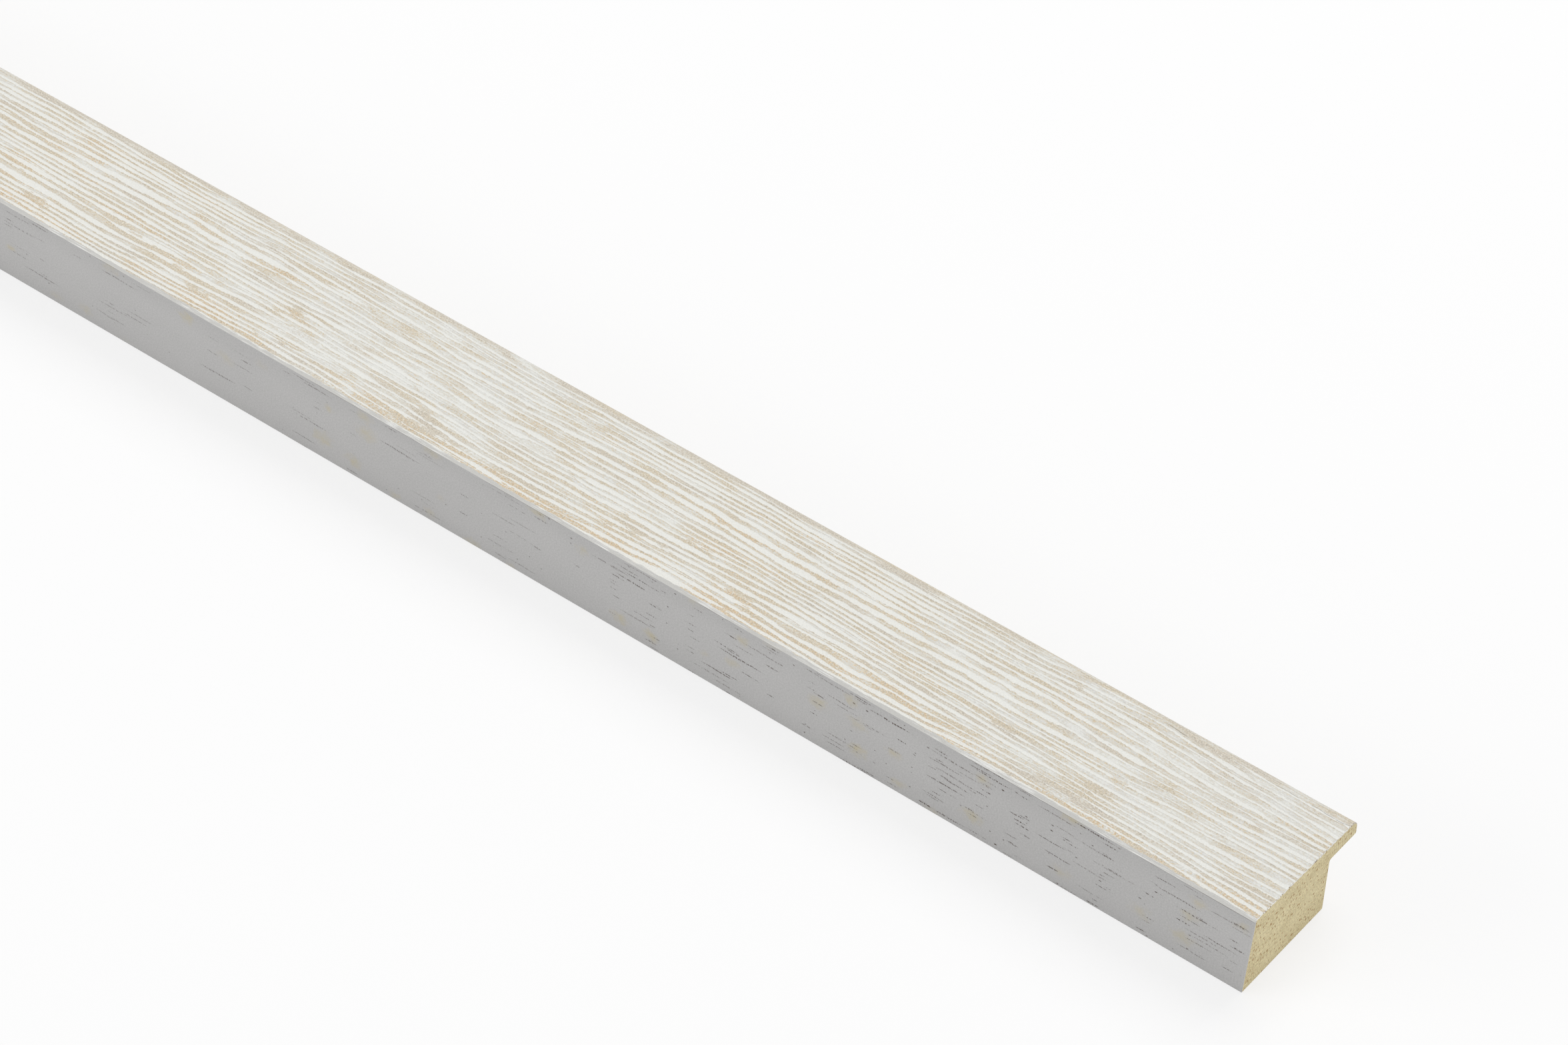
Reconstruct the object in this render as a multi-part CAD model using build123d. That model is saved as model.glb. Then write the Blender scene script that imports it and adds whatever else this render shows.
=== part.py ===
"""A length of wooden picture frame moulding, planed from one piece of stock.

The section is drawn looking along the length, Y across the moulding and Z up from its
flat back, and is then extruded along X. The outer side stands at -Y, the sight edge,
which borders the picture, at +Y. Under the sight edge the rebate takes the glass, the
picture and the backing. All sizes are in millimetres.
"""

import os
from math import atan2, cos, degrees, tan

from build123d import *

# Stock, measured over everything
length = 1000.0
width = 30.0

# Height of the sharp arris over the back, and how far the face falls from it to the lip
outer_height = 16.25
face_fall = 1.1

# Rebate: its width at the back, how far its wall leans in under the glass seat,
# and the lip that is left over the seat, whose edge leans back towards the face
rebate_width = 6.6
rebate_undercut = 1.1
lip_thickness = 3.4
lip_lean = 0.45

# Rounded edges
arris_radius = 0.6
nose_upper_radius = 2.0
nose_lower_radius = 0.4
rebate_corner_radius = 0.3
back_edge_radius = 0.25

# Most of the lip's thickness that each round of its nose may take
UPPER_SHARE = 0.6
LOWER_SHARE = 0.3

outer_side = -width / 2
sight_edge = width / 2
rebate_mouth = sight_edge - rebate_width
rebate_root = rebate_mouth - rebate_undercut
sight_height = outer_height - face_fall
seat_height = sight_height - lip_thickness
nose_upper = min(nose_upper_radius, UPPER_SHARE * lip_thickness)
nose_lower = min(nose_lower_radius, LOWER_SHARE * lip_thickness)


def lower_nose_corner():
    """Place the corner under the lip so that its round, and no more, reaches the sight edge."""
    lean = atan2(lip_lean, lip_thickness)
    past_the_round = nose_lower * (tan(lean) + 1 / cos(lean) - 1)
    return sight_edge + past_the_round


def section_corners():
    """List the section's corners in order round it, each with the radius that rounds it."""
    nose_y = lower_nose_corner()
    return [
        ((outer_side, 0), back_edge_radius),
        ((rebate_mouth, 0), back_edge_radius),
        ((rebate_root, seat_height), rebate_corner_radius),
        ((nose_y, seat_height), nose_lower),
        ((nose_y - lip_lean, sight_height), nose_upper),
        ((outer_side, outer_height), arris_radius),
    ]


def moulding_section():
    """Draw the section with its rebate and its rounded edges."""
    points, radii = zip(*section_corners())
    with BuildSketch(Plane.YZ) as section:
        with BuildLine():
            FilletPolyline(*points, radius=radii, close=True)
        make_face()
    return section.sketch


def frame_moulding():
    """Extrude the section to both sides of its middle, to the full length."""
    return extrude(moulding_section(), amount=length / 2, both=True)


def main():
    moulding = frame_moulding()
    moulding.label = "frame_moulding"
    os.makedirs("parts", exist_ok=True)
    export_step(moulding, "parts/frame_moulding.step")
    box = moulding.bounding_box()
    print(f"size {box.size.X:.2f} x {box.size.Y:.2f} x {box.size.Z:.2f} mm")
    print(f"volume {moulding.volume / 1000:.1f} cm3")
    print(f"glass seat {seat_height:.2f} mm over the back, {rebate_width + rebate_undercut:.2f} mm wide")
    print(f"face falls by {degrees(atan2(face_fall, width)):.2f} degrees")


main()
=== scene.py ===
"""Dress a length of picture frame moulding: whitewashed brushed face, grey side, raw wood."""

import logging
import math
from dataclasses import dataclass, field, replace
from enum import Enum

import bmesh
import bpy
from bmesh.types import BMesh, BMFace, BMVert
from bpy.types import ID, Material, Node, NodeSocket, NodeTree, Object
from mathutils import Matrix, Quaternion, Vector


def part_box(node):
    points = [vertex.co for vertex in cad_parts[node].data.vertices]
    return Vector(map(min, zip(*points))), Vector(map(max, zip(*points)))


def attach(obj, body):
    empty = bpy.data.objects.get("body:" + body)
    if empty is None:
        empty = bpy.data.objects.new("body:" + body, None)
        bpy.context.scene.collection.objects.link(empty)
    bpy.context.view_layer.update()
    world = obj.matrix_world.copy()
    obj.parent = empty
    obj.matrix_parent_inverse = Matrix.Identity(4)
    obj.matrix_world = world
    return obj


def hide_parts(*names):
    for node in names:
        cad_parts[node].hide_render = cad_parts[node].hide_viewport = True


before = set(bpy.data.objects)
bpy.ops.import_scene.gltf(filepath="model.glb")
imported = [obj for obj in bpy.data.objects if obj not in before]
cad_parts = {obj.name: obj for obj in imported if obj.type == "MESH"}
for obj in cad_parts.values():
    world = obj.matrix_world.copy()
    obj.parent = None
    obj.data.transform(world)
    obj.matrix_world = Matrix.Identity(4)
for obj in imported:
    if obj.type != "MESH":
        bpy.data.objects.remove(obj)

MM = 0.001
NODE = "frame_moulding"

# The Mix node's sockets for colours, by number
MIX_AMOUNT, MIX_FIRST, MIX_SECOND, MIX_RESULT = 0, 6, 7, 2

log = logging.getLogger("moulding")

Colour = tuple[float, float, float]

# By place across and up: how far it lies round from the arris, and which way is out
Places = dict[tuple[float, float], tuple[float, Vector]]


def srgb(*seen: int) -> Colour:
    """Turn red, green and blue on a screen, 0 to 255, into the linear colour that shaders take."""
    parts = [part / 255 for part in seen]
    return tuple(part / 12.92 if part <= 0.04045 else ((part + 0.055) / 1.055) ** 2.4 for part in parts)


def add(data: ID) -> Object:
    """Put a new object into the scene, with the name of what it shows.

    Args:
        data: Its mesh, camera or lamp.

    Returns:
        The object.
    """
    made = bpy.data.objects.new(data.name, data)
    bpy.context.scene.collection.objects.link(made)
    return made


class Value:
    """A number that varies over a surface, on which Python's operators add Math nodes."""

    def __init__(self, sheet: "NodeSheet", socket: NodeSocket) -> None:
        """Wrap an output socket of a node on a sheet."""
        self.sheet = sheet
        self.socket = socket

    def _math(self, operation: str, *others: "Value | float", clamp: bool = False) -> "Value":
        """Add one Math node whose first input is this value."""
        settings = {"operation": operation, "use_clamp": clamp}
        return self.sheet.value("ShaderNodeMath", settings, {0: self, **dict(enumerate(others, 1))})

    def __add__(self, other: "Value | float") -> "Value":
        """Add."""
        return self._math("ADD", other)

    def __sub__(self, other: "Value | float") -> "Value":
        """Subtract."""
        return self._math("SUBTRACT", other)

    def __rsub__(self, other: float) -> "Value":
        """Subtract from a plain number."""
        return self._math("MULTIPLY", -1.0) + other

    def __mul__(self, other: "Value | float") -> "Value":
        """Multiply."""
        return self._math("MULTIPLY", other)

    def __truediv__(self, other: "Value | float") -> "Value":
        """Divide."""
        return self._math("DIVIDE", other)

    __radd__, __rmul__ = __add__, __mul__

    def wave(self) -> "Value":
        """Take the sine of an angle."""
        return self._math("SINE")

    def part(self) -> "Value":
        """Keep what is left over the whole number."""
        return self._math("FRACT")

    def whole(self) -> "Value":
        """Drop the part after the point."""
        return self._math("FLOOR")

    def size(self) -> "Value":
        """Drop the sign."""
        return self._math("ABSOLUTE")

    def least(self, other: "Value | float") -> "Value":
        """Take the smaller of two."""
        return self._math("MINIMUM", other)

    def most(self, other: "Value | float") -> "Value":
        """Take the larger of two."""
        return self._math("MAXIMUM", other)

    def kept(self) -> "Value":
        """Keep the value from 0 to 1."""
        return self._math("ADD", 0.0, clamp=True)

    def rise(self, low: float, high: float) -> "Value":
        """Go smoothly from 0 at one level to 1 at another.

        Args:
            low: The level that gives 0.
            high: The level that gives 1. It may be the lower one.

        Returns:
            The smooth step.
        """
        falls = float(low > high)
        levels = {"From Min": min(low, high), "From Max": max(low, high), "To Min": falls, "To Max": 1.0 - falls}
        settings = {"interpolation_type": "SMOOTHSTEP"}
        return self.sheet.value("ShaderNodeMapRange", settings, {"Value": self, **levels})


Input = Value | float | tuple | NodeSocket


class NodeSheet:
    """A node tree, of a material or of a shape, to which nodes are added by type."""

    def __init__(self, tree: NodeTree) -> None:
        """Take a node tree and empty it."""
        self.tree = tree
        tree.nodes.clear()

    def node(self, kind: str, settings: dict | None = None, inputs: dict | None = None) -> Node:
        """Add a node, set it, and then fill or link its inputs.

        Args:
            kind: The node's type.
            settings: The node's own properties by name.
            inputs: Its sockets' values or links, by name or number.

        Returns:
            The node.
        """
        made = self.tree.nodes.new(kind)
        for name, setting in (settings or {}).items():
            setattr(made, name, setting)
        for name, given in (inputs or {}).items():
            socket = made.inputs[name]
            given = given.socket if isinstance(given, Value) else given
            if isinstance(given, NodeSocket):
                self.tree.links.new(given, socket)
            else:
                socket.default_value = given
        return made

    def value(self, kind: str, settings: dict, inputs: dict, output: str | int = 0) -> Value:
        """Add a node and take one of its outputs, by name or number, as a number."""
        return Value(self, self.node(kind, settings, inputs).outputs[output])

    def place(self, along: Input, across: Input, up: Input = 0.0) -> NodeSocket:
        """Join three numbers to one point."""
        return self.node("ShaderNodeCombineXYZ", {}, {0: along, 1: across, 2: up}).outputs[0]

    def blend(self, amount: Value, first: Input, second: Input) -> NodeSocket:
        """Mix two colours.

        Args:
            amount: How much of the second shows, from 0 to 1.
            first: The colour at 0.
            second: The colour at 1.

        Returns:
            The mixed colour.
        """
        first, second = ((*given, 1.0) if isinstance(given, tuple) else given for given in (first, second))
        settings = {"data_type": "RGBA", "clamp_factor": True}
        inputs = {MIX_AMOUNT: amount, MIX_FIRST: first, MIX_SECOND: second}
        return self.node("ShaderNodeMix", settings, inputs).outputs[MIX_RESULT]

    def shade(self, amount: Value, colour: Input) -> NodeSocket:
        """Darken or lighten a colour by multiplying it."""
        inputs = {0: colour, 1: self.place(amount, amount, amount)}
        return self.node("ShaderNodeVectorMath", {"operation": "MULTIPLY"}, inputs).outputs[0]

    def seen(self) -> Value:
        """Say whether a ray comes from the camera, straight or off something glossy."""
        rays = self.node("ShaderNodeLightPath").outputs
        return Value(self, rays["Is Camera Ray"]).most(Value(self, rays["Is Glossy Ray"]))


@dataclass(frozen=True)
class Surface:
    """A surface to draw on: its nodes and its two coordinates in millimetres.

    Attributes:
        sheet: The nodes of the material or the shape.
        along: The coordinate along the grain.
        across: The coordinate across the grain.
    """

    sheet: NodeSheet
    along: Value
    across: Value

    def cloud(self, length: float, width: float, detail: float, seed: float) -> Value:
        """Noise from about -1 to 1 in lumps of one size.

        Args:
            length: A lump's length along the grain.
            width: Its width across the grain.
            detail: How many finer layers it has.
            seed: Which noise of many it is.

        Returns:
            The noise.
        """
        settings = {"noise_dimensions": "2D", "normalize": True}
        point = self.sheet.place(self.along / length + seed * 1.37, self.across / width - seed * 2.71)
        inputs = {"Vector": point, "Scale": 1.0, "Detail": detail, "Roughness": 0.55}
        return self.sheet.value("ShaderNodeTexNoise", settings, inputs) * 3.2 - 1.6


@dataclass(frozen=True)
class Spot:
    """Scattered marks: one may lie in each cell of an uneven grid.

    Attributes:
        cell_length: The grid's cell along the grain, in millimetres.
        cell_width: The cell across it, in millimetres.
        reach: Half a mark's size, as a share of the cell.
        share: How many of the cells hold a mark.
        seed: Which scatter of many it is.
        core: How much of a mark's reach is fully dark, before its edge fades.
    """

    cell_length: float
    cell_width: float
    reach: float
    share: float
    seed: float
    core: float = 0.55

    def marks(self, surface: Surface, more: Value | float = 0.0, ragged: Value | float = 0.0) -> Value:
        """Draw the marks.

        Args:
            surface: What they are drawn on.
            more: What is added to the share of the cells that hold a mark.
            ragged: What is added to the distance, as a share of a mark's size.

        Returns:
            1 inside a mark, falling to 0 at its edge, and less in a faint mark.
        """
        sheet = surface.sheet
        along, across = surface.along / self.cell_length, surface.across / self.cell_width
        point = sheet.place(along + self.seed, across - self.seed)
        settings = {"voronoi_dimensions": "2D", "feature": "F1"}
        cells = sheet.node("ShaderNodeTexVoronoi", settings, {"Vector": point, "Scale": 1.0, "Randomness": 1.0})
        lot = sheet.node("ShaderNodeSeparateColor", {}, {0: cells.outputs["Color"]})
        drawn, size, depth = (Value(sheet, lot.outputs[part]) for part in range(3))
        distance = Value(sheet, cells.outputs["Distance"]) / ((size * 0.7 + 0.5) * self.reach)
        inside = (distance + ragged).rise(1.0, self.core)
        return inside * (self.share + more - drawn).rise(0.0, 0.02) * (depth * 0.6 + 0.4)


@dataclass(frozen=True)
class GrainMarks:
    """What the brush left at a place of the face.

    Attributes:
        crest: 1 on a white ridge, with a crisp edge.
        swell: The same ridge as a soft height.
        under: 1 in the corner right under a ridge, on the outer side of it, where the ground lies barer and the
            valley is darkened as painted shade under the ridge.
        valley: The number of the valley.
        zone: Wide paler and darker zones, from about -1 to 1.
    """

    crest: Value
    swell: Value
    under: Value
    valley: Value
    zone: Value


@dataclass(frozen=True)
class BrushedGrain:
    """The brushed relief of the face: ridges that sway along the grain, swell and run out.

    All lengths are in millimetres.

    Attributes:
        spacing: From one ridge to the next.
        half_width: Half a ridge's usual width.
        swelling: How much wider or narrower it gets.
        depth: From the crests to the valleys.
        widest: Half a ridge's greatest width, as a share of the spacing.
        worn_start: Where a barer stretch of the length starts.
        worn_run: How long such a stretch is, divided by pi.
    """

    spacing: float = 1.38
    half_width: float = 0.30
    swelling: float = 0.28
    depth: float = 0.20
    widest: float = 0.42
    worn_start: float = 362.5
    worn_run: float = 23.9

    def sway(self, face: Surface) -> Value:
        """Let the ridges leave their straight lines, in long, middling and short waves.

        Args:
            face: The brushed face.

        Returns:
            How far they do, in millimetres.
        """
        long_wave = face.cloud(55.0, 8.0, 0.0, 3.0) * 0.95
        crowding = face.cloud(26.0, 2.4, 1.0, 7.0) * (0.20 - self.worn(face) * 0.14)
        wave = face.cloud(14.0, 4.2, 1.0, 11.0) * 0.28
        ripple = face.cloud(3.6, 1.8, 1.0, 15.0) * 0.07
        return long_wave + crowding + wave + ripple

    def worn(self, face: Surface) -> Value:
        """Make some stretches of the length barer, warmer and more even, from -1 to 1."""
        return ((face.along - self.worn_start) / self.worn_run).wave()

    def marks(self, face: Surface) -> GrainMarks:
        """Lay out the ridges and the valleys between them.

        Args:
            face: The brushed face.

        Returns:
            The marks.
        """
        line = (face.across + self.sway(face)) / self.spacing
        ridge, valley = line.whole(), (line + 0.5).whole()
        offset = (line - ridge - 0.5) * self.spacing
        zone = face.cloud(36.0, 5.5, 1.0, 19.0)
        ragged = face.cloud(0.7, 0.35, 1.0, 23.0) * 0.09
        swell = replace(face, across=ridge * 5.37).cloud(16.0, 1.0, 3.0, 29.0) * self.swelling
        half = (swell + zone * 0.05 + self.worn(face) * 0.07 + self.half_width).least(self.spacing * self.widest)
        inside = half - offset.size()
        spare = replace(face, across=valley * 3.71).cloud(17.0, 1.0, 1.0, 37.0) * 0.24 - 0.10
        spare_inside = spare - (self.spacing * 0.5 - offset.size())
        crest = (inside + ragged).rise(-0.06, 0.07).most((spare_inside + ragged).rise(-0.06, 0.07))
        soft = inside.rise(-0.42, 0.08).most(spare_inside.rise(-0.30, 0.08) * 0.8)
        under = (offset + half).rise(-0.24, -0.02) * (offset + half).rise(0.06, -0.02)
        return GrainMarks(crest, soft, under, valley, zone)

    def lift(self, face: Surface) -> Value:
        """Turn the ridges into a height under their crests, from minus the depth to 0."""
        return (self.marks(face).swell - 1.0) * self.depth


class Layer(Enum):
    """What the mesh keeps besides its shape."""

    AROUND = "across"
    OUTWARD = "outward"
    MAP = "OFBake"


class Finish:
    """What every finish shares: a material with one shader and its coordinates."""

    name = "finish"

    def material(self) -> Material:
        """Make the material.

        Returns:
            The material.
        """
        made = bpy.data.materials.new(self.name)
        made.use_nodes = True
        sheet = NodeSheet(made.node_tree)
        sheet.node("ShaderNodeOutputMaterial", {}, {"Surface": self.shader(sheet)})
        return made

    def shader(self, sheet: NodeSheet) -> NodeSocket:
        """Build the shader. Each finish has its own."""
        raise NotImplementedError

    @staticmethod
    def coordinates(sheet: NodeSheet) -> tuple[Value, Value, Value]:
        """Read the object's own coordinates along, across and up, in millimetres."""
        parts = sheet.node("ShaderNodeSeparateXYZ", {}, {0: sheet.node("ShaderNodeTexCoord").outputs["Object"]})
        return tuple(Value(sheet, parts.outputs[axis]) / MM for axis in range(3))

    @staticmethod
    def round_the_section(sheet: NodeSheet) -> Value:
        """Read how far a point lies round the section from the arris, in millimetres."""
        return sheet.value("ShaderNodeAttribute", {"attribute_name": Layer.AROUND.value}, {}, "Fac") / MM

    @staticmethod
    def paint(sheet: NodeSheet, colour: NodeSocket, roughness: Value | float, relief: Value,
              height: float) -> NodeSocket:
        """Make a matt shader whose bump is given.

        Args:
            sheet: The material's nodes.
            colour: The base colour.
            roughness: The roughness.
            relief: The bump's height, from 0 to 1.
            height: How high 1 stands, in millimetres.

        Returns:
            The shader.
        """
        bump = sheet.node("ShaderNodeBump", {}, {"Strength": 1.0, "Distance": height * MM, "Height": relief})
        inputs = {"Base Color": colour, "Roughness": roughness, "Normal": bump.outputs[0]}
        matt = {"Specular IOR Level": 0.35}
        return sheet.node("ShaderNodeBsdfPrincipled", {}, inputs | matt).outputs[0]


@dataclass(frozen=True)
class Whitewash(Finish):
    """White paint dragged over a tan ground and rubbed back, on the brushed face.

    Attributes:
        bareness: How bare the ground lies anywhere.
        strip: Where the sight edge's plain strip starts, round from the arris.
        cut_dark_lines: The middle of the stretch by the cut where the dark lines at the strip's edge lie closer.
    """

    grain: BrushedGrain = BrushedGrain()
    name: str = "whitewash"
    white: Colour = srgb(235, 235, 230)
    wash: Colour = srgb(226, 225, 218)
    cool_wash: Colour = srgb(221, 220, 215)
    thin_wash: Colour = srgb(220, 215, 203)
    tan: Colour = srgb(210, 199, 178)
    grey_tan: Colour = srgb(206, 198, 184)
    rubbed: Colour = srgb(213, 193, 163)
    arris: Colour = srgb(200, 199, 195)
    # white streaks on the arris: painted highlights
    streak: Colour = srgb(238, 238, 236)
    # colour of the dark lines: partly cracked paint, partly painted shade
    dark_line: Colour = srgb(120, 112, 102)
    bareness: float = 0.18
    strip: float = 27.2
    cut_dark_lines: float = 493.0

    def shader(self, sheet: NodeSheet) -> NodeSocket:
        """Lay the ground, the thin wash, the ridges and the rubbed places.

        Args:
            sheet: The material's nodes.

        Returns:
            The shader.
        """
        face = Surface(sheet, self.coordinates(sheet)[0], self.round_the_section(sheet))
        marks = self.grain.marks(face)
        grit = face.cloud(0.30, 0.26, 1.0, 60.0)
        patches = face.cloud(13.0, 3.0, 4.0, 67.0)
        scraped = self.scraped(face, patches)
        thin = self.thinness(face, grit, marks) + patches * 0.38 + scraped * 0.40
        wash = sheet.blend(thin.rise(-0.45, 0.20), self.washes(face, grit), self.thin_wash)
        wash = sheet.blend(thin.rise(-0.30, -0.90) * 0.85, wash, self.white)
        valley = sheet.blend(thin.rise(0.19, 0.29), wash, self.ground(face, grit))
        # painted shade: the valley is darkened in the corner right under each ridge
        valley = sheet.shade(1.0 - marks.under * 0.07, valley)
        crest = marks.crest * self.ridged(face) * (1.0 - scraped * 0.85)
        painted = sheet.blend(crest * 0.92, valley, sheet.shade(grit * 0.05 + 1.0, self.white))
        # dark lines at the strip's edge: partly cracked paint, partly painted shade
        painted = sheet.blend(self.cracks_and_painted_shade(face), painted, self.dark_line)
        # the arris's pale paint, with painted highlights along it
        colour = sheet.blend(self.on_arris(face), painted, self.arris_paint_and_highlights(face))
        return self.paint(sheet, colour, 0.72 - crest * 0.12, crest * 0.5 + grit * 0.5 + 0.3, 0.05)

    @staticmethod
    def ridged(face: Surface) -> Value:
        """Say where the brushed ridges reach: not onto the round of the sight edge."""
        return (face.across + face.cloud(16.0, 6.0, 2.0, 53.0) * 0.7).rise(27.6, 27.1)

    @staticmethod
    def scraped(face: Surface, patches: Value) -> Value:
        """Say where a patch lies bare over ridges and valleys alike, mostly in the outer half of the face."""
        ragged = face.cloud(1.4, 0.3, 1.0, 69.0) * 0.14
        return (patches + ragged - face.across.rise(9.0, 16.0) * 0.25).rise(0.48, 0.58)

    def thinness(self, face: Surface, grit: Value, marks: GrainMarks) -> Value:
        """Say how thin the wash lies: each valley has its own stretches, which patches run across.

        Args:
            face: The face.
            grit: The fine grain of the paint.
            marks: The ridges and valleys.

        Returns:
            About 0.3 and more where the ground lies bare, and less the thicker the wash.
        """
        stretch = replace(face, across=marks.valley * 4.13).cloud(11.0, 1.0, 2.0, 71.0) * 0.78
        drag = face.cloud(3.0, 0.42, 1.0, 77.0) * 0.38
        dabs = face.cloud(0.50, 0.32, 1.0, 81.0) * 0.46
        streaks = face.cloud(7.0, 0.24, 1.0, 79.0) * 0.22
        reach = face.across + face.cloud(13.0, 40.0, 2.0, 85.0) * 4.0 - face.along.rise(425.0, 470.0) * 1.8
        hatched = reach.rise(5.2, 1.6) * (self.hatch(face) * 0.5 + 0.25)
        edges = hatched + face.across.rise(26.6, 27.8) * 0.30
        valleys = stretch + drag + dabs + streaks + marks.under * 0.34 - marks.zone * 0.10
        return valleys + grit * 0.38 + edges + self.grain.worn(face) * 0.25 + self.bareness

    def cracks_and_painted_shade(self, face: Surface) -> Value:
        """Draw the short dark lines where the face meets the sight edge's plain strip: partly cracked paint,
        partly painted shade under the edge of the last ridge.

        Args:
            face: The face.

        Returns:
            How dark the lines are.
        """
        line = (face.across + face.cloud(9.0, 9.0, 2.0, 131.0) * 0.5 - self.strip).size().rise(0.11, 0.02)
        broken = face.cloud(7.0, 9.0, 2.0, 137.0).rise(0.45, 0.75)
        notched = face.cloud(1.4, 1.0, 1.0, 139.0).rise(-0.6, 0.0)
        at_the_cut = (face.along - self.cut_dark_lines).size().rise(9.0, 6.0) * notched
        return line * broken.most(at_the_cut) * 0.55

    def washes(self, face: Surface, grit: Value) -> NodeSocket:
        """Colour the thin wash, cooler in places."""
        cool = face.cloud(20.0, 2.5, 1.0, 83.0).rise(-0.4, 0.7)
        return face.sheet.shade(grit * 0.16 + 1.0, face.sheet.blend(cool, self.wash, self.cool_wash))

    def ground(self, face: Surface, grit: Value) -> NodeSocket:
        """Colour the ground: tan, greyer in places, with orange specks where it is rubbed through.

        Args:
            face: The face.
            grit: The fine grain of the paint.

        Returns:
            The ground's colour.
        """
        sheet, across = face.sheet, face.across
        hue = face.cloud(22.0, 3.5, 1.0, 91.0) - self.grain.worn(face) * 0.15
        tan = sheet.blend((hue + across.rise(26.0, 27.5) * 0.6).rise(-0.1, 0.8), self.tan, self.grey_tan)
        near_edge = across.rise(5.0, 1.4) * (self.hatch(face) * 0.4 + 0.5)
        specks = face.cloud(0.42, 0.30, 1.0, 97.0)
        rubbed = (near_edge - hue * 0.8 + specks * 0.55 - across.rise(25.0, 27.0)).rise(0.32, 1.00)
        grains = face.cloud(0.34, 0.26, 0.0, 99.0).rise(0.15, 0.60) * 0.75
        sand = sheet.blend(grains, sheet.blend(rubbed, tan, self.rubbed), self.thin_wash)
        return sheet.shade(grit * 0.22 + 1.0, sand)

    @staticmethod
    def hatch(face: Surface) -> Value:
        """Draw the short slanting dabs of a dry brush."""
        slant = (face.along / 0.95 - face.across * 0.6 + face.cloud(2.0, 0.8, 1.0, 95.0) * 0.6).part()
        return (slant - 0.5).size().rise(0.34, 0.14)

    @staticmethod
    def on_arris(face: Surface) -> Value:
        """Say where the rounded arris shows its plain pale paint."""
        return (face.across + face.cloud(3.0, 1.0, 3.0, 111.0) * 0.20).rise(0.36, 0.18)

    def arris_paint_and_highlights(self, face: Surface) -> NodeSocket:
        """Colour the arris, with fine white streaks along it in places: painted highlights on the round edge."""
        streaks = face.cloud(3.5, 0.11, 1.0, 121.0) + face.cloud(17.0, 3.0, 1.0, 127.0) * 0.8
        return face.sheet.blend(streaks.rise(0.25, 0.95) * 0.75, self.arris, self.streak)


@dataclass(frozen=True)
class GreyPaint(Finish):
    """Matt grey paint on the outer side, in which the wood's open pores show as dashes.

    Attributes:
        crease_up: How high the dark line under the arris lies.
        coarse_start: Where a stretch of coarser wood starts.
        coarse_run: How long such a stretch is, divided by pi.
    """

    name: str = "grey_paint"
    grey: Colour = srgb(174, 173, 172)
    smudge: Colour = srgb(178, 168, 138)
    pore: Colour = srgb(66, 48, 34)
    dark_line: Colour = srgb(104, 98, 92)
    long_pores: Spot = Spot(22.0, 0.80, 0.20, 0.50, 12.0)
    short_pores: Spot = Spot(8.0, 0.80, 0.19, 0.26, 34.0)
    dots: Spot = Spot(2.4, 1.1, 0.12, 0.05, 41.0)
    pinholes: Spot = Spot(2.6, 2.0, 0.07, 0.07, 47.0)
    smudges: Spot = Spot(8.0, 5.5, 0.34, 0.45, 2.0, -0.3)
    crease_up: float = 15.60
    coarse_start: float = 380.0
    coarse_run: float = 63.7

    def shader(self, sheet: NodeSheet) -> NodeSocket:
        """Paint the side and open its pores.

        Args:
            sheet: The material's nodes.

        Returns:
            The shader.
        """
        along, _, up = self.coordinates(sheet)
        side = Surface(sheet, along, up)
        dust = side.cloud(0.30, 0.28, 1.0, 9.0)
        # mottle and dust of the paint, and painted shade darkening the top of the side from 11 mm up
        mottle_dust_and_painted_shade = side.cloud(22.0, 7.0, 2.0, 5.0) * 0.022 + dust * 0.085 + 1.0 - up.rise(11.0, 15.5) * 0.045
        base = sheet.shade(mottle_dust_and_painted_shade, self.grey)
        smudged = self.smudges.marks(side, 0.0, side.cloud(1.5, 1.3, 2.0, 13.0) * 0.40)
        base = sheet.blend(smudged * 0.82, base, self.smudge)
        rim = side.cloud(16.0, 30.0, 2.0, 21.0).rise(-0.1, 0.5)
        # a thin dark line along the side just under the arris, broken along the length
        crease = (up + side.cloud(2.0, 1.0, 1.0, 25.0) * 0.04 - self.crease_up).size().rise(0.14, 0.03)
        base = sheet.blend(crease * rim * 0.65, base, self.dark_line)
        pores = self.pores(side)
        filled = self.coarse(side).rise(0.4, -0.6) * 0.35
        colour = sheet.blend(pores * (0.9 - filled), base, self.pore)
        return self.paint(sheet, colour, 0.62, 1.0 - pores + dust * 0.06, 0.06)

    def coarse(self, side: Surface) -> Value:
        """Say how coarse the wood under the paint is, from -1 where its pores are filled to 1."""
        return ((side.along - self.coarse_start) / self.coarse_run).wave()

    def pores(self, side: Surface) -> Value:
        """Draw long and short pores, broken into beads, and pinholes.

        Args:
            side: The outer side.

        Returns:
            1 in a pore.
        """
        along, up = side.along, side.across
        near_the_cut = self.coarse(side) * 0.14 - 0.10
        crowd = side.cloud(50.0, 5.0, 1.0, 15.0) * 0.12 + up.rise(3.0, 15.0) * 0.14 + near_the_cut
        level = replace(side, across=up + along * 0.012 + side.cloud(5.0, 3.0, 1.0, 35.0) * 0.10)
        slanted = Surface(side.sheet, along / 0.27 + up / 0.6, up)
        beads = slanted.cloud(1.0, 0.5, 0.0, 33.0).rise(-0.20, 0.30) * 0.9 + 0.1
        strokes = self.long_pores.marks(level, crowd).most(self.short_pores.marks(level, crowd))
        spots = self.dots.marks(level, crowd * 0.5).most(self.pinholes.marks(side))
        return (strokes * beads).most(spots).kept()


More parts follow.
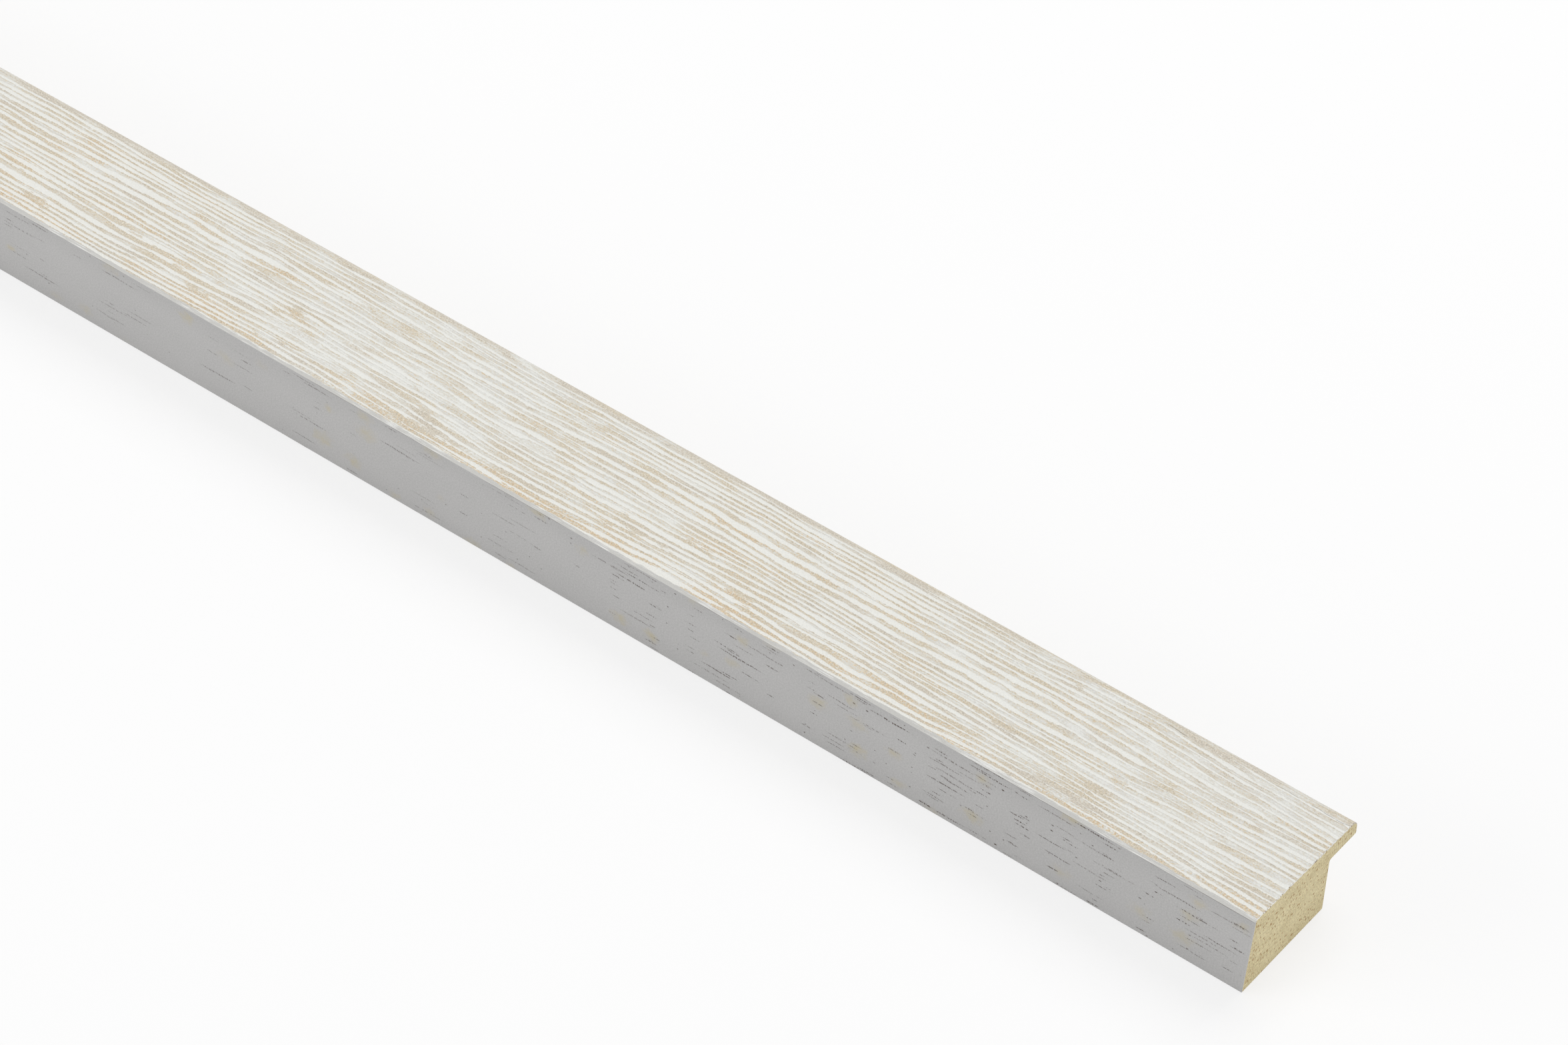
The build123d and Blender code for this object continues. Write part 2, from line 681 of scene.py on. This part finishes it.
@dataclass(frozen=True)
class EndGrain(Finish):
    """Pale sawn end grain with brown pores in short rows."""

    name: str = "end_grain"
    wood: Colour = srgb(227, 214, 173)
    late: Colour = srgb(200, 182, 138)
    pale: Colour = srgb(241, 230, 190)
    pore: Colour = srgb(154, 100, 36)
    large_pores: Spot = Spot(1.10, 0.80, 0.27, 0.55, 3.0)
    small_pores: Spot = Spot(0.70, 0.52, 0.21, 0.50, 17.0)

    def shader(self, sheet: NodeSheet) -> NodeSocket:
        """Band the wood and open its pores.

        Args:
            sheet: The material's nodes.

        Returns:
            The shader.
        """
        _, across, up = self.coordinates(sheet)
        band = Surface(sheet, across, up).cloud(7.0, 3.0, 2.0, 4.0)
        rays = Surface(sheet, across * 0.25 + up * 0.97, across * 0.97 - up * 0.25)
        fibre = rays.cloud(0.42, 0.24, 1.0, 8.0)
        # the wood is also darker towards the bottom of the end, over its lowest 3 mm
        wood = sheet.blend(band.rise(-0.6, 1.0) * 0.6 + up.rise(3.0, 0.0) * 0.15, self.wood, self.late)
        wood = sheet.blend(fibre.rise(0.05, 0.8) * 0.7, wood, self.pale)
        saw = ((across + up * 0.3) / 0.55).part().rise(0.45, 0.0) * (across.rise(6.5, 9.0) * 0.16 + 0.02)
        wood = sheet.shade(fibre * 0.10 + 1.0 - saw, wood)
        pores = self.large_pores.marks(rays).most(self.small_pores.marks(rays) * 0.65)
        colour = sheet.blend(pores * 0.9, wood, self.pore)
        return self.paint(sheet, colour, 0.85, 0.7 - pores * 0.5 + fibre * 0.25, 0.10)


@dataclass(frozen=True)
class PlanedWood(Finish):
    """Raw planed wood of the back and the rebate, with pores along the grain."""

    name: str = "planed_wood"
    wood: Colour = srgb(224, 209, 172)
    late: Colour = srgb(211, 193, 152)
    pore: Colour = srgb(160, 134, 90)
    pores: Spot = Spot(9.0, 0.8, 0.12, 0.5, 5.0)

    def shader(self, sheet: NodeSheet) -> NodeSocket:
        """Streak the wood along its grain.

        Args:
            sheet: The material's nodes.

        Returns:
            The shader.
        """
        along, across, up = self.coordinates(sheet)
        planed = Surface(sheet, along, across + up)
        streak = planed.cloud(90.0, 1.6, 3.0, 6.0)
        fibre = planed.cloud(6.0, 0.25, 2.0, 14.0)
        wood = sheet.blend(streak.rise(-0.8, 0.9) * 0.8, self.wood, self.late)
        wood = sheet.shade(fibre * 0.04 + 1.0, wood)
        open_pores = self.pores.marks(planed)
        colour = sheet.blend(open_pores * 0.65, wood, self.pore)
        return self.paint(sheet, colour, 0.8, 0.7 - open_pores * 0.5 + fibre * 0.15, 0.06)


@dataclass(frozen=True)
class PaintEdge(Finish):
    """The cut edge of the paint film, which shows as a fine pale line round the end."""

    name: str = "paint_edge"
    pale: Colour = srgb(246, 244, 239)
    grey: Colour = srgb(198, 197, 195)
    shadow: Colour = srgb(132, 112, 82)

    def shader(self, sheet: NodeSheet) -> NodeSocket:
        """Make chalky paint with a little grit, white over the face and grey down the side, with painted shadow in
        the notches between the ridges and round the nose.

        Args:
            sheet: The material's nodes.

        Returns:
            The shader.
        """
        _, across, up = self.coordinates(sheet)
        cut = Surface(sheet, across, up)
        grit = cut.cloud(0.35, 0.35, 1.0, 2.0)
        around = self.round_the_section(sheet)
        painted = sheet.blend(around.rise(0.2, -0.4), self.pale, self.grey)
        # painted shadow: darker in the notches between the ridges' ends, and on the film round the nose
        notches = cut.cloud(0.45, 9.0, 1.0, 7.0).rise(0.10, 0.60) * around.rise(0.2, 0.8) * 0.85
        painted = sheet.blend(notches.most(around.rise(27.0, 29.0) * 0.6), painted, self.shadow)
        return self.paint(sheet, sheet.shade(grit * 0.03 + 1.0, painted), 0.8, grit, 0.01)


@dataclass(frozen=True)
class StudioWhite(Finish):
    """A pale floor that the camera sees as white, apart from the object's shadow."""

    name: str = "studio_white"
    pale: Colour = srgb(250, 250, 250)
    glow: float = 0.7

    def shader(self, sheet: NodeSheet) -> NodeSocket:
        """Mix the lit floor with plain white for the camera's own rays.

        Args:
            sheet: The material's nodes.

        Returns:
            The shader.
        """
        lit = sheet.node("ShaderNodeBsdfDiffuse", {}, {"Color": (*self.pale, 1.0)}).outputs[0]
        white = sheet.node("ShaderNodeEmission", {}, {"Color": (1.0, 1.0, 1.0, 1.0), "Strength": 1.0}).outputs[0]
        return sheet.node("ShaderNodeMixShader", {}, {0: sheet.seen() * self.glow, 1: lit, 2: white}).outputs[0]


@dataclass(frozen=True)
class Corner:
    """One corner of the section and the round that eases it."""

    across: float
    up: float
    radius: float
    segments: int


@dataclass
class MouldingSection:
    """The moulding's section, its corners in order round it from the back of the outer side."""

    low: Vector
    high: Vector
    outer_height: float = 16.25 * MM
    face_fall: float = 1.1 * MM
    rebate_width: float = 6.6 * MM
    undercut: float = 1.1 * MM
    lip: float = 3.4 * MM
    lip_lean: float = 0.45 * MM
    arris_round: float = 0.6 * MM
    nose_round: float = 2.0 * MM
    lip_round: float = 0.4 * MM
    rebate_round: float = 0.3 * MM
    back_round: float = 0.25 * MM

    def corners(self) -> list[Corner]:
        """List the sharp corners, which are then rounded.

        Returns:
            The corners, from the back of the outer side along the back.
        """
        outer, sight, floor = self.low.y, self.high.y, self.low.z
        mouth = sight - self.rebate_width
        crown = floor + self.outer_height
        sight_up = crown - self.face_fall
        seat = sight_up - self.lip
        lean = math.atan2(self.lip_lean, self.lip)
        nose = sight + self.lip_round * (math.tan(lean) + 1 / math.cos(lean) - 1)
        return [
            Corner(outer, floor, self.back_round, 2),
            Corner(mouth, floor, self.back_round, 2),
            Corner(mouth - self.undercut, seat, self.rebate_round, 2),
            Corner(nose, seat, self.lip_round, 4),
            Corner(nose - self.lip_lean, sight_up, self.nose_round, 12),
            Corner(outer, crown, self.arris_round, 6),
        ]


class Slot(Enum):
    """The moulding's finishes, in the order of their slots."""

    FACE = 0
    SIDE = 1
    END = 2
    RAW = 3
    FILM = 4


@dataclass(frozen=True)
class MapBand:
    """Faces that lie side by side on the flat map.

    Attributes:
        slots: Which finishes they have.
        folds: Into how many shorter lengths they are cut.
        scale: How large they are drawn across the grain.
    """

    slots: tuple[Slot, ...]
    folds: int
    scale: float


@dataclass
class MouldingLength:
    """The whole length of moulding as one closed mesh.

    Attributes:
        section: Its section.
        column: The face's mesh width, across the ridges.
        wide_column: The mesh width of the other sides.
        face_least: The face's own edge of the section is longer than this.
        rows: How many rows the mesh has along the grain.
        film: How thick the paint is.
        chip: How far the saw broke the paint's edge back.
        cap_corners: A whole cut end has more corners than this.
        join: From here on, round from the arris, places count backwards.
        side_start: Where the side's paint starts, round from the arris.
        side_end: Where it meets the face's.
        face_end: Where the face's paint ends, under the lip.
        girth: How far it is round the section, once measured.
        gap: The free space between bands of the flat map.
    """

    section: MouldingSection
    name: str = "moulding_length"
    column: float = 0.21 * MM
    wide_column: float = 4 * MM
    face_least: float = 20 * MM
    rows: int = 384
    film: float = 0.15 * MM
    chip: float = 0.08 * MM
    cap_corners: int = 20
    join: float = 34 * MM
    side_start: float = -16.22 * MM
    side_end: float = -0.5 * MM
    face_end: float = 32.5 * MM
    girth: float = 0.0
    gap: float = 0.006
    grain: BrushedGrain = BrushedGrain()
    bands: tuple[MapBand, ...] = (
        MapBand((Slot.FACE,), 3, 6.0),
        MapBand((Slot.SIDE,), 3, 4.1),
        MapBand((Slot.RAW,), 1, 2.0),
        MapBand((Slot.END, Slot.FILM), 1, 6.0),
    )

    def build(self) -> Object:
        """Model the moulding and brush its face.

        Returns:
            The moulding.
        """
        bm = bmesh.new()
        cap = self.outline(bm)
        self.subdivide_sides(bm, cap)
        places = self.measure_round(cap)
        self.extrude(bm, cap)
        self.film_edges(bm)
        self.note_places(bm, places)
        bmesh.ops.recalc_face_normals(bm, faces=bm.faces[:])
        mesh = bpy.data.meshes.new(self.name)
        bm.to_mesh(mesh)
        bm.free()
        made = add(mesh)
        self.brush(made)
        self.dress(made)
        return made

    def outline(self, bm: BMesh) -> BMFace:
        """Draw the section at the near end and round its corners.

        Args:
            bm: The mesh.

        Returns:
            The section's face.
        """
        start = self.section.low.x
        corners = self.section.corners()
        verts = [bm.verts.new((start, c.across, c.up)) for c in corners]
        bm.faces.new(verts)
        for index, (corner, vert) in enumerate(zip(corners, verts)):
            before = corners[index - 1]
            after = corners[(index + 1) % len(corners)]
            to_before = Vector((before.across - corner.across, before.up - corner.up))
            to_after = Vector((after.across - corner.across, after.up - corner.up))
            tangent = corner.radius / math.tan(to_before.angle(to_after) / 2)
            bmesh.ops.bevel(bm, geom=[vert], offset=tangent, offset_type="OFFSET", segments=corner.segments,
                            profile=0.5, affect="VERTICES", material=-1)
        bm.faces.ensure_lookup_table()
        return bm.faces[0]

    def subdivide_sides(self, bm: BMesh, cap: BMFace) -> None:
        """Cut the face's edge fine enough for the ridges, and the other sides coarser.

        Args:
            bm: The mesh.
            cap: The section's face.
        """
        middle = (self.section.low.z + self.section.high.z) / 2
        for edge in [e for e in cap.edges if e.calc_length() > self.wide_column]:
            on_face = edge.calc_length() > self.face_least and min(v.co.z for v in edge.verts) > middle
            width = self.column if on_face else self.wide_column
            bmesh.ops.subdivide_edges(bm, edges=[edge], cuts=round(edge.calc_length() / width) - 1)

    def measure_round(self, cap: BMFace) -> Places:
        """Measure how far each point of the outline lies round it from the arris, and which way is out.

        Args:
            cap: The section's face.

        Returns:
            The distance and the outward direction, by place across and up.
        """
        points = [v.co.copy() for v in cap.verts]
        area = sum(a.y * b.z - b.y * a.z for a, b in zip(points, points[1:] + points[:1]))
        if area > 0:
            points.reverse()
        crown = min(range(len(points)), key=lambda i: points[i].y - points[i].z)
        points = points[crown:] + points[:crown]
        self.girth = sum((point - points[i - 1]).length for i, point in enumerate(points))
        places, reach = {}, 0.0
        for before, point, after in zip(points[-1:] + points[:-1], points, points[1:] + points[:1]):
            run = (after - before).normalized()
            round_it = reach if reach < self.join else reach - self.girth
            places[self.key(point)] = (round_it, Vector((0.0, -run.z, run.y)))
            reach += (after - point).length
        return places

    @staticmethod
    def key(point: Vector) -> tuple[float, float]:
        """Name a place of the section by its coordinates in hundredths of a millimetre."""
        return (round(point.y / MM, 2), round(point.z / MM, 2))

    def extrude(self, bm: BMesh, cap: BMFace) -> None:
        """Run the section along the whole length and cut it into rows.

        Args:
            bm: The mesh.
            cap: The section's face.
        """
        length = self.section.high.x - self.section.low.x
        made = bmesh.ops.extrude_face_region(bm, geom=[cap], use_keep_orig=True)["geom"]
        far = [g for g in made if isinstance(g, BMVert)]
        bmesh.ops.translate(bm, vec=(length, 0, 0), verts=far)
        rails = [e for e in bm.edges if abs(e.verts[0].co.x - e.verts[1].co.x) > length / 2]
        bmesh.ops.subdivide_edges(bm, edges=rails, cuts=self.rows - 1, use_grid_fill=True)

    def film_edges(self, bm: BMesh) -> None:
        """Inset both cut ends by the thickness of the paint.

        Args:
            bm: The mesh.
        """
        for cap in [f for f in bm.faces if len(f.verts) > self.cap_corners]:
            ring = bmesh.ops.inset_region(bm, faces=[cap], thickness=self.film, use_even_offset=True,
                                          use_boundary=True)["faces"]
            rim = list({v for f in ring for v in f.verts} - set(cap.verts))
            inward = -self.chip if cap.verts[0].co.x > 0 else self.chip
            bmesh.ops.translate(bm, vec=(inward, 0, 0), verts=rim)

    def note_places(self, bm: BMesh, places: Places) -> None:
        """Keep each vertex's place round the section and its outward direction on the mesh.

        Args:
            bm: The mesh.
            places: What measure_round found.
        """
        across = bm.verts.layers.float.new(Layer.AROUND.value)
        outward = bm.verts.layers.float_vector.new(Layer.OUTWARD.value)
        known = dict(places)
        for vert in bm.verts:
            key = self.key(vert.co)
            if key not in known:
                nearest = min(places, key=lambda p: (p[0] - key[0]) ** 2 + (p[1] - key[1]) ** 2)
                known[key] = places[nearest]
            vert[across], vert[outward] = known[key]

    def brush(self, made: Object) -> None:
        """Press the valleys between the ridges into the face.

        Args:
            made: The moulding.
        """
        tree = bpy.data.node_groups.new("brushed_relief", "GeometryNodeTree")
        for way in ("INPUT", "OUTPUT"):
            tree.interface.new_socket("Geometry", in_out=way, socket_type="NodeSocketGeometry")
        sheet = NodeSheet(tree)
        start = sheet.node("NodeGroupInput").outputs[0]
        point = sheet.node("GeometryNodeInputPosition").outputs[0]
        along = sheet.value("ShaderNodeSeparateXYZ", {}, {0: point}) / MM
        named = sheet.node("GeometryNodeInputNamedAttribute", {"data_type": "FLOAT"}, {"Name": Layer.AROUND.value})
        across = Value(sheet, named.outputs[0]) / MM
        vector = sheet.node("GeometryNodeInputNamedAttribute", {"data_type": "FLOAT_VECTOR"},
                            {"Name": Layer.OUTWARD.value})
        brushed = across.rise(0.05, 0.9) * across.rise(28.4, 27.2)
        height = self.grain.lift(Surface(sheet, along, across)) * brushed * MM
        shift = sheet.node("ShaderNodeVectorMath", {"operation": "SCALE"}, {0: vector.outputs[0], "Scale": height})
        moved = sheet.node("GeometryNodeSetPosition", {}, {"Geometry": start, "Offset": shift.outputs[0]})
        sheet.node("NodeGroupOutput", {}, {0: moved.outputs[0]})
        modifier = made.modifiers.new("brushed_relief", "NODES")
        modifier.node_group = tree
        bpy.context.view_layer.update()
        solid = made.evaluated_get(bpy.context.evaluated_depsgraph_get())
        made.data = bpy.data.meshes.new_from_object(solid)
        made.modifiers.clear()
        bpy.data.node_groups.remove(tree)

    def dress(self, made: Object) -> None:
        """Give the moulding its finishes and its flat map.

        Args:
            made: The moulding.
        """
        made.data.materials.clear()
        for finish in (Whitewash(self.grain), GreyPaint(), EndGrain(), PlanedWood(), PaintEdge()):
            made.data.materials.append(finish.material())
        bm = bmesh.new()
        bm.from_mesh(made.data)
        self.part_finishes(bm)
        self.lay_out_map(bm)
        bm.to_mesh(made.data)
        bm.free()

    def part_finishes(self, bm: BMesh) -> None:
        """Give each face its finish by where it lies round the section.

        Args:
            bm: The mesh.
        """
        across = bm.verts.layers.float[Layer.AROUND.value]
        for face in bm.faces:
            reach = [v[across] for v in face.verts]
            around = sum(reach) / len(reach)
            over_the_join = max(reach) - min(reach) > self.girth / 2
            painted = self.side_start < around < self.face_end and not over_the_join
            at_end = self.is_end(face)
            if at_end:
                slot = Slot.FILM if painted and len(reach) < self.cap_corners else Slot.END
            elif not painted:
                slot = Slot.RAW
            else:
                slot = Slot.SIDE if around < self.side_end else Slot.FACE
            face.material_index = slot.value
            face.smooth = not at_end
            for edge in face.edges:
                if at_end and any(not self.is_end(f) for f in edge.link_faces):
                    edge.smooth = False

    def lay_out_map(self, bm: BMesh) -> None:
        """Unroll the moulding on one square map, with its face and side folded into shorter lengths.

        Args:
            bm: The mesh.
        """
        across = bm.verts.layers.float[Layer.AROUND.value]
        flat = bm.loops.layers.uv.new(Layer.MAP.value)
        low, high = self.section.low, self.section.high

        def round_it(vert: BMVert, band: MapBand) -> float:
            """Place a corner on the band: round the section, or up the cut end."""
            turn = self.girth if Slot.RAW in band.slots and vert[across] < 0 else 0.0
            return vert.co.z if Slot.END in band.slots else vert[across] + turn

        laid = []
        for band in self.bands:
            faces = [f for f in bm.faces if Slot(f.material_index) in band.slots]
            reach = [round_it(v, band) for f in faces for v in f.verts]
            laid.append((band, faces, min(reach), max(reach)))
        free = 1.0 - self.gap * (1 + sum(band.folds for band in self.bands))
        unit = free / sum(band.folds * band.scale * (top - bottom) for band, _, bottom, top in laid)
        floor = self.gap
        for band, faces, bottom, top in laid:
            scale = unit * band.scale
            step = (top - bottom) * scale + self.gap
            fold_length = (high.x - low.x) / band.folds
            for face in faces:
                fold = min(int((face.calc_center_median().x - low.x) / fold_length), band.folds - 1)
                for loop in face.loops:
                    place = loop.vert.co
                    along = (place.x - low.x) / fold_length - fold
                    if Slot.END in band.slots:
                        along = (place.y - low.y) * scale + (0.5 if place.x > 0 else 0.0)
                    up = (round_it(loop.vert, band) - bottom) * scale
                    loop[flat].uv = (self.gap + along * (1.0 - 2.0 * self.gap), floor + fold * step + up)
            floor += band.folds * step

    def is_end(self, face: BMFace) -> bool:
        """Say whether a face lies on a cut end, or in the chipped edge round it."""
        ends, past_the_chip = (self.section.low.x, self.section.high.x), 1.5 * self.chip
        return all(min(abs(v.co.x - end) for end in ends) < past_the_chip for v in face.verts)


@dataclass
class PhotoView:
    """The camera's place, as it stood for the photograph.

    Attributes:
        aim: The point on the floor that the camera looks at.
        azimuth: How far round it stands, in degrees.
        elevation: How far up it looks from, in degrees.
        roll: How far it is turned about its own axis, in degrees.
        distance: From the camera to the aim.
        lens: The focal length, in millimetres.
        picture: The picture's width behind it, in millimetres.
        nearest: The nearest that it sees.
    """

    aim: Vector = field(default_factory=lambda: Vector((0.382303, 0.024209, 0.0)))
    azimuth: float = 33.6899
    elevation: float = 41.6980
    roll: float = 5.3056
    distance: float = 0.758066
    lens: float = 103.017
    picture: float = 36.0
    nearest: float = 0.01

    def build(self) -> None:
        """Place the camera."""
        turn, tilt = math.radians(self.azimuth), math.radians(self.elevation)
        back = Vector((math.sin(turn) * math.cos(tilt), -math.cos(turn) * math.cos(tilt), math.sin(tilt)))
        data = bpy.data.cameras.new("photo_view")
        data.lens = self.lens
        data.sensor_width = self.picture
        data.sensor_fit = "HORIZONTAL"
        data.clip_start = self.nearest
        camera = add(data)
        camera.location = self.aim + back * self.distance
        camera.rotation_mode = "QUATERNION"
        level = (-back).to_track_quat("-Z", "Y")
        camera.rotation_quaternion = level @ Quaternion((0, 0, 1), math.radians(self.roll))
        bpy.context.scene.camera = camera


@dataclass
class Studio:
    """A pale floor, a pale sky and soft lamps.

    Attributes:
        floor_size: The floor's side.
        floor_drop: How far it lies under the moulding's back.
        sky: How bright the sky is for what it lights.
        near_end: Where the lamps shine.
    """

    floor_size: float = 8.0
    floor_drop: float = 0.02 * MM
    sky: float = 0.57
    near_end: Vector = field(default_factory=lambda: Vector((0.3, 0.0, 0.0)))

    def build(self) -> None:
        """Lay the floor and light it."""
        self.lay_floor()
        self.light_sky()
        self.hang_lamp("key", Vector((-0.15, 1.0, 1.5)), 1.2, 1.2, 13.0)
        self.hang_lamp("side", Vector((-1.6, -1.9, 0.7)), 2.0, 1.0, 29.0)
        self.hang_lamp("end", Vector((1.3, -0.4, 0.7)), 1.0, 1.0, 1.5)

    def lay_floor(self) -> None:
        """Lay the floor under the moulding."""
        bm = bmesh.new()
        bmesh.ops.create_grid(bm, x_segments=1, y_segments=1, size=self.floor_size / 2)
        bmesh.ops.translate(bm, vec=(0, 0, -self.floor_drop), verts=bm.verts[:])
        mesh = bpy.data.meshes.new("studio_floor")
        bm.to_mesh(mesh)
        bm.free()
        floor = add(mesh)
        floor.data.materials.append(StudioWhite().material())

    def light_sky(self) -> None:
        """Make the world an even white, whose background the camera sees as white."""
        world = bpy.data.worlds.new("studio_sky")
        bpy.context.scene.world = world
        world.use_nodes = True
        sheet = NodeSheet(world.node_tree)
        strength = sheet.seen() * (1.0 - self.sky) + self.sky
        sky = sheet.node("ShaderNodeBackground", {}, {"Color": (1.0, 1.0, 1.0, 1.0), "Strength": strength})
        sheet.node("ShaderNodeOutputWorld", {}, {"Surface": sky.outputs[0]})

    def hang_lamp(self, name: str, place: Vector, width: float, height: float, power: float) -> None:
        """Hang a soft lamp, clear of the floor, that shines at the moulding's near end.

        Args:
            name: The lamp's name.
            place: Where it hangs, from the near end.
            width: Its width.
            height: Its height.
            power: Its power in watts.
        """
        data = bpy.data.lights.new(name, "AREA")
        data.shape = "RECTANGLE"
        data.size = width
        data.size_y = height
        data.energy = power
        lamp = add(data)
        lamp.location = self.near_end + place
        lamp.rotation_mode = "QUATERNION"
        lamp.rotation_quaternion = (-place).to_track_quat("-Z", "Y")


def main() -> None:
    """Build the moulding and the studio."""
    logging.basicConfig(level=logging.INFO, format="%(name)s: %(message)s")
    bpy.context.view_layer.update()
    low, high = (Vector(corner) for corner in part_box(NODE))
    moulding = MouldingLength(MouldingSection(low, high)).build()
    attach(moulding, "root")
    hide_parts(NODE)
    log.info("%s has %d faces", moulding.name, len(moulding.data.polygons))
    Studio().build()
    PhotoView().build()
    scene = bpy.context.scene
    scene.view_settings.view_transform = "Standard"


if __name__ == "__main__":
    main()
